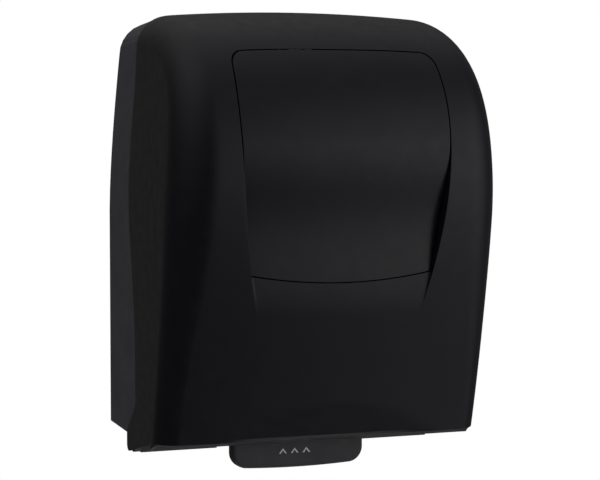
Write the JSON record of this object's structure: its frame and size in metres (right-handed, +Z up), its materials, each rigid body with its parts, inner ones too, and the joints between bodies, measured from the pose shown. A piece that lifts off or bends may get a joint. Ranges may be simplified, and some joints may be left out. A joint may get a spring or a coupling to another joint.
{
  "type": "roll towel dispenser",
  "caption": "Wall-hung roll towel dispenser: rounded black hinged cover with a window panel, charcoal rear case, sprung roll arms, feed drum with knife, and a push paddle below.",
  "frame": {"origin": "middle of the wall screws, on the back face that lies on the wall", "axes": "+Y into the wall, the front faces -Y, +Z up, +X to the right seen from the front"},
  "size_m": [0.32, 0.2277, 0.4356],
  "materials": {
    "cover_black": "semi-gloss black",
    "window_black": "gloss black",
    "case_charcoal": "matte charcoal",
    "paddle_charcoal": "matte charcoal",
    "frame_grey": "matte dark grey",
    "hub_grey": "matte mid grey",
    "drum_grey": "matte light grey",
    "gear_white": "natural acetal",
    "bush_tan": "natural bearing plastic",
    "rubber_black": "matte rubber",
    "shaft_steel": "ground steel",
    "lock_metal": "plated",
    "screw_steel": "zinc plated",
    "spring_steel": "drawn wire",
    "blade_steel": "ground steel"
  },
  "bodies": {
    "chassis": {"rear_case": "case_charcoal", "hinge_pins": "shaft_steel", "lock_housing": "lock_metal", "lock_nut": "lock_metal", "left_roll_arm": "frame_grey", "arm_bracket": "frame_grey", "arm_pivot_pin": "shaft_steel", "arm_screws": "screw_steel", "arm_spring": "spring_steel", "left_side_plate": "frame_grey", "right_side_plate": "frame_grey", "plate_screws": "screw_steel", "shaft_bushes": "bush_tan", "tie_rod": "shaft_steel", "yoke_rod": "shaft_steel", "paper_guide": "frame_grey", "rear_guide": "frame_grey", "knife_cam": "gear_white", "cam_screws": "screw_steel", "pressure_springs": "spring_steel", "lever_spring": "spring_steel"},
    "cover": {"front_cover": "cover_black", "window_panel": "window_black", "cover_catch": "lock_metal", "catch_screws": "screw_steel"},
    "lock": {"lock_barrel": "lock_metal", "lock_cam": "lock_metal"},
    "right_arm": {"right_roll_arm": "frame_grey"},
    "left_hub": {"left_roll_hub": "hub_grey"},
    "right_hub": {"right_roll_hub": "hub_grey"},
    "drum": {"drum_body": "drum_grey", "drum_end_left": "drum_grey", "drum_end_right": "drum_grey", "grip_bands": "rubber_black", "drum_shaft": "shaft_steel", "feed_wheel": "hub_grey"},
    "knife": {"knife_carrier": "drum_grey", "knife_blade": "blade_steel", "cam_follower": "gear_white"},
    "yoke": {"pressure_yoke": "frame_grey", "roller_shaft": "shaft_steel"},
    "roller": {"pressure_roller": "rubber_black"},
    "push": {"push_lever": "frame_grey", "push_paddle": "paddle_charcoal", "paddle_screws": "screw_steel", "lever_shaft": "shaft_steel", "drive_sector": "gear_white"},
    "pinion": {"feed_pinion": "gear_white"}
  },
  "joints": [
    {"name": "cover_hinge", "type": "hinge", "parent": "chassis", "child": "cover", "pos_m": [0, -0.0685, -0.2655], "axis": [1, 0, 0], "range_deg": [0, 95]},
    {"name": "lock_turn", "type": "hinge", "parent": "chassis", "child": "lock", "pos_m": [0, -0.036, 0.118], "axis": [0, 0, -1], "range_deg": [0, 90]},
    {"name": "arm_swing", "type": "hinge", "parent": "chassis", "child": "right_arm", "pos_m": [0.114, -0.022, 0.003], "axis": [0, 0, 1], "range_deg": [0, 12], "stiffness_Nm_per_rad": 1.5, "springref_deg": -5.73, "deforming": ["arm_spring"]},
    {"name": "left_hub_spin", "type": "hinge", "parent": "chassis", "child": "left_hub", "pos_m": [-0.105, -0.113, 0.003], "axis": [1, 0, 0], "continuous": true},
    {"name": "right_hub_spin", "type": "hinge", "parent": "right_arm", "child": "right_hub", "pos_m": [0.105, -0.113, 0.003], "axis": [1, 0, 0], "continuous": true},
    {"name": "drum_turn", "type": "hinge", "parent": "chassis", "child": "drum", "pos_m": [0, -0.095, -0.17], "axis": [1, 0, 0], "continuous": true},
    {"name": "knife_slide", "type": "slide", "parent": "drum", "child": "knife", "axis": [0, -0.9397, -0.342], "range_m": [0, 0.012]},
    {"name": "yoke_lift", "type": "hinge", "parent": "chassis", "child": "yoke", "pos_m": [0, -0.03, -0.14], "axis": [-1, 0, 0], "range_deg": [0, 8], "stiffness_Nm_per_rad": 2, "springref_deg": -5.73, "deforming": ["pressure_springs"]},
    {"name": "roller_spin", "type": "hinge", "parent": "yoke", "child": "roller", "pos_m": [0, -0.06745, -0.12228], "axis": [1, 0, 0], "continuous": true},
    {"name": "push_swing", "type": "hinge", "parent": "chassis", "child": "push", "pos_m": [0, -0.08003, -0.22396], "axis": [1, 0, 0], "range_deg": [0, 20], "stiffness_Nm_per_rad": 0.6, "springref_deg": -22.92, "deforming": ["lever_spring"]},
    {"name": "pinion_spin", "type": "hinge", "parent": "chassis", "child": "pinion", "pos_m": [0.13, -0.095, -0.17], "axis": [1, 0, 0], "range_deg": [-1, 91]}
  ],
  "couplings": [
    {"joint": "roller_spin", "follows": "drum_turn", "ratio": -3.5667},
    {"joint": "pinion_spin", "follows": "push_swing", "ratio": 4.5}
  ]
}
